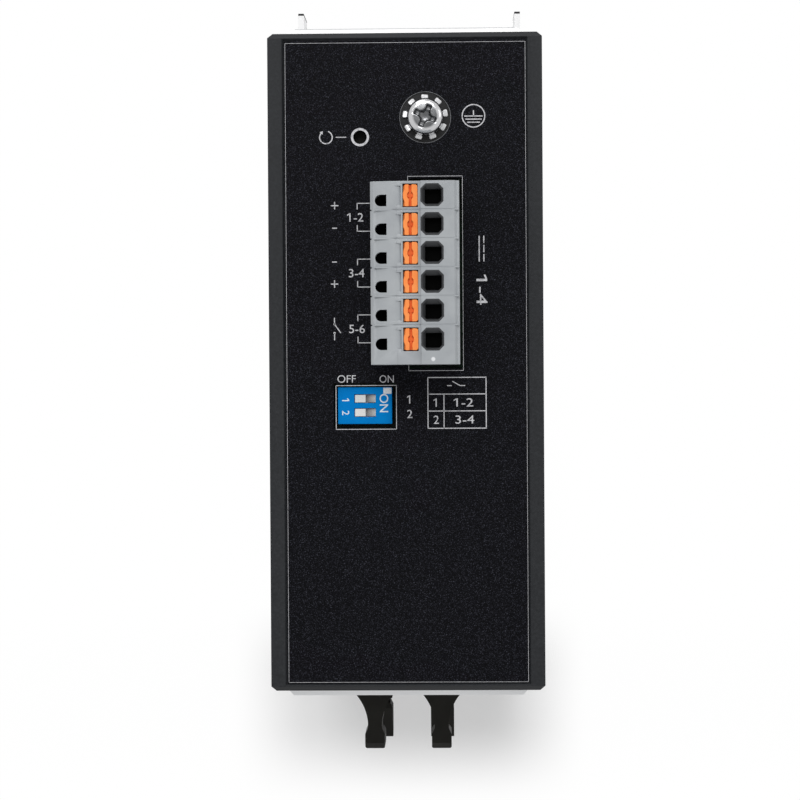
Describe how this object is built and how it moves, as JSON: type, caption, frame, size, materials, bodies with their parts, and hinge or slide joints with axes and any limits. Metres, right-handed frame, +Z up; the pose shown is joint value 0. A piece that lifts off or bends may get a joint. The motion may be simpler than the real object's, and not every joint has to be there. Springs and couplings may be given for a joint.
{
  "type": "din rail ethernet switch",
  "caption": "Upright metal-cased network switch for a mounting rail: pluggable power terminals, option switches, earth screw and reset on top, ports in front, sprung rail clip behind.",
  "frame": {"origin": "centre of the case sleeve's underside", "axes": "+Z up, ports face -Y, rail clip towards +Y, X across the 50 mm width"},
  "size_m": [0.05, 0.1458, 0.148],
  "materials": {
    "case_black": "fine powder coat",
    "label_black": "fine grained film",
    "panel_pale": "satin paint",
    "edging_black": "matt",
    "plate_steel": "zinc plated",
    "screw_steel": "bright plated",
    "board_green": "solder mask",
    "post_brass": "plated",
    "shield_tin": "tinned sheet",
    "plastic_black": "moulded",
    "can_blue": "shrink sleeve",
    "sink_aluminium": "as extruded",
    "plug_grey": "moulded",
    "light_clear": "clear",
    "led_white": "moulded",
    "switch_blue": "moulded",
    "knob_white": "moulded",
    "button_orange": "moulded"
  },
  "bodies": {
    "switch_case": {"alarm_relay": "plastic_black", "board_link": "plastic_black", "board_screws": "screw_steel", "board_standoffs": "post_brass", "bulk_capacitors": "can_blue", "case_sleeve": "case_black", "chip_heat_sink": "sink_aluminium", "clip_screws": "screw_steel", "dip_base": "plastic_black", "dip_housing": "switch_blue", "dip_socket": "plastic_black", "earth_nut": "screw_steel", "earth_screw": "screw_steel", "earth_washer": "screw_steel", "front_panel": "panel_pale", "front_screws": "screw_steel", "guard_edging": "edging_black", "header_pins": "post_brass", "jack_body_left": "plastic_black", "jack_body_right": "plastic_black", "jack_contacts_left": "post_brass", "jack_contacts_right": "post_brass", "jack_shield_left": "shield_tin", "jack_shield_right": "shield_tin", "latch_spring": "shield_tin", "light_pipes": "light_clear", "main_board": "board_green", "port_transformers": "plastic_black", "power_board": "board_green", "power_inductors": "plastic_black", "power_transformer": "plastic_black", "rail_clip_body": "plastic_black", "rear_plate": "plate_steel", "rear_screws": "screw_steel", "reset_switch": "plastic_black", "sfp_cage_left": "shield_tin", "sfp_cage_right": "shield_tin", "sfp_connector_left": "plastic_black", "sfp_connector_right": "plastic_black", "status_leds": "led_white", "switch_chip": "plastic_black", "terminal_board": "board_green", "terminal_header": "plastic_black", "terminal_posts": "post_brass", "top_label": "label_black"},
    "terminal_plug": {"plug_housing": "plug_grey", "plug_contacts": "post_brass", "clamp_springs": "shield_tin", "wire_funnels": "plastic_black"},
    "reset_plunger": {"reset_button": "plastic_black"},
    "rail_latch_slide": {"rail_latch": "plastic_black"},
    "release_1": {"release_button_1": "button_orange"},
    "release_2": {"release_button_2": "button_orange"},
    "release_3": {"release_button_3": "button_orange"},
    "release_4": {"release_button_4": "button_orange"},
    "release_5": {"release_button_5": "button_orange"},
    "release_6": {"release_button_6": "button_orange"},
    "dip_knob_1": {"dip_slider_1": "knob_white"},
    "dip_knob_2": {"dip_slider_2": "knob_white"}
  },
  "joints": [
    {"name": "plug_pull", "type": "slide", "parent": "switch_case", "child": "terminal_plug", "axis": [0, 0, 1], "range_m": [0, 0.009]},
    {"name": "release_press_1", "type": "slide", "parent": "terminal_plug", "child": "release_1", "axis": [0, 0, -1], "range_m": [0, 0.0018], "stiffness_N_per_m": 3000, "springref_m": -0.0005},
    {"name": "release_press_2", "type": "slide", "parent": "terminal_plug", "child": "release_2", "axis": [0, 0, -1], "range_m": [0, 0.0018], "stiffness_N_per_m": 3000, "springref_m": -0.0005},
    {"name": "release_press_3", "type": "slide", "parent": "terminal_plug", "child": "release_3", "axis": [0, 0, -1], "range_m": [0, 0.0018], "stiffness_N_per_m": 3000, "springref_m": -0.0005},
    {"name": "release_press_4", "type": "slide", "parent": "terminal_plug", "child": "release_4", "axis": [0, 0, -1], "range_m": [0, 0.0018], "stiffness_N_per_m": 3000, "springref_m": -0.0005},
    {"name": "release_press_5", "type": "slide", "parent": "terminal_plug", "child": "release_5", "axis": [0, 0, -1], "range_m": [0, 0.0018], "stiffness_N_per_m": 3000, "springref_m": -0.0005},
    {"name": "release_press_6", "type": "slide", "parent": "terminal_plug", "child": "release_6", "axis": [0, 0, -1], "range_m": [0, 0.0018], "stiffness_N_per_m": 3000, "springref_m": -0.0005},
    {"name": "dip_slide_1", "type": "slide", "parent": "switch_case", "child": "dip_knob_1", "axis": [-1, 0, 0], "range_m": [0, 0.00175]},
    {"name": "dip_slide_2", "type": "slide", "parent": "switch_case", "child": "dip_knob_2", "axis": [-1, 0, 0], "range_m": [0, 0.00175]},
    {"name": "reset_press", "type": "slide", "parent": "switch_case", "child": "reset_plunger", "axis": [0, 0, -1], "range_m": [0, 0.0003], "stiffness_N_per_m": 4000, "springref_m": -0.0001},
    {"name": "latch_pull", "type": "slide", "parent": "switch_case", "child": "rail_latch_slide", "axis": [0, 0, -1], "range_m": [0, 0.0045], "stiffness_N_per_m": 1500, "springref_m": -0.003, "deforming": ["latch_spring"]}
  ]
}
